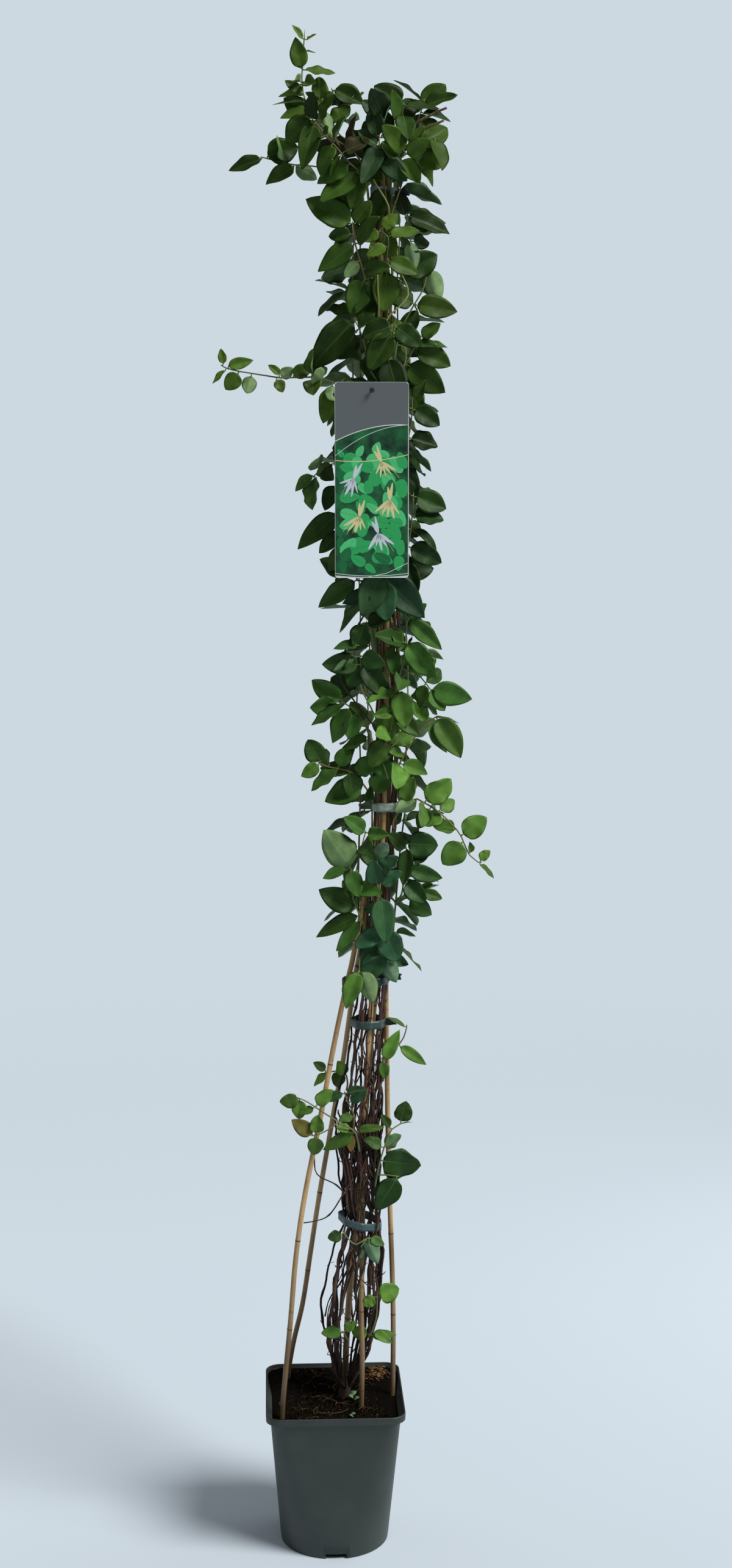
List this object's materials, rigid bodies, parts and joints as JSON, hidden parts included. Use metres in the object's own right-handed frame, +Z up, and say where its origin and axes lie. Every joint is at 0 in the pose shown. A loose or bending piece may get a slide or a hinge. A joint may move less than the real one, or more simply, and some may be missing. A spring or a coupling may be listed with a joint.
{
  "type": "potted climbing plant",
  "caption": "Tall twining honeysuckle in a square plastic pot, trained up bamboo canes tied into one narrow column, with a hanging label.",
  "frame": {"origin": "middle of the flat underside of the pot", "axes": "+Z up along the plant; -Y towards the front, where the label hangs; +X to the right seen from the front"},
  "size_m": [0.3517, 0.1796, 1.9294],
  "materials": {
    "pot_plastic": "satin, dark blue-grey",
    "soil": null,
    "bamboo": "dull skin, tan",
    "bark": "rough, dark brown",
    "tie_tape": "thin stretched tape, pale green",
    "label_card": "printed plastic card, satin",
    "hanger_plastic": "dark, satin",
    "leaf_bright": "young leaf, semi-gloss",
    "leaf_middle": "leaf, semi-gloss",
    "leaf_dark": "old leaf, semi-gloss",
    "leaf_bluish": "shaded leaf, semi-gloss"
  },
  "bodies": {
    "root": {"pot": "pot_plastic", "soil": "soil", "cane_front_left": "bamboo", "cane_back_left": "bamboo", "cane_front": "bamboo", "cane_right": "bamboo", "cane_middle": "bamboo", "woody_stems": "bark", "tie_low": "tie_tape", "tie_stems": "tie_tape", "tie_canes": "tie_tape", "tie_middle": "tie_tape", "tie_top": "tie_tape", "label": "label_card", "label_hanger": "hanger_plastic", "spray_leader": "leaf_bright", "spray_head_left": "leaf_middle", "spray_head_left_back": "leaf_dark", "spray_head_right": "leaf_middle", "spray_head_right_low": "leaf_bright", "spray_head_centre": "leaf_bluish", "spray_upper_left": "leaf_middle", "spray_front_curl": "leaf_bright", "spray_upper_right": "leaf_dark", "spray_right_1560": "leaf_bright", "spray_left_1540": "leaf_middle", "spray_front_1540": "leaf_dark", "spray_right_1520": "leaf_middle", "spray_left_long": "leaf_bright", "spray_left_1330": "leaf_middle", "spray_right_1430": "leaf_dark", "spray_right_1330": "leaf_dark", "spray_below_label": "leaf_bluish", "spray_left_1180": "leaf_dark", "spray_right_1180": "leaf_middle", "spray_right_1080": "leaf_bright", "spray_front_1110": "leaf_bright", "spray_left_1090": "leaf_middle", "spray_left_1030": "leaf_middle", "spray_right_long": "leaf_bright", "spray_right_890": "leaf_dark", "spray_left_870": "leaf_middle", "spray_front_840": "leaf_bluish", "spray_hanging_pair": "leaf_bright", "spray_right_640": "leaf_bright", "spray_left_640": "leaf_bright", "spray_low_left": "leaf_bright", "spray_low_node": "leaf_bluish", "spray_low_right": "leaf_dark", "spray_under_tie": "leaf_bluish", "spray_low_round": "leaf_bright", "spray_low_small": "leaf_middle", "runner_back_low_a": "leaf_middle", "runner_back_low_b": "leaf_dark", "runner_back_low_c": "leaf_middle", "runner_back_low_d": "leaf_dark", "runner_back_high_a": "leaf_dark", "runner_back_high_b": "leaf_middle", "runner_back_high_c": "leaf_dark", "runner_back_high_d": "leaf_middle"}
  },
  "joints": []
}
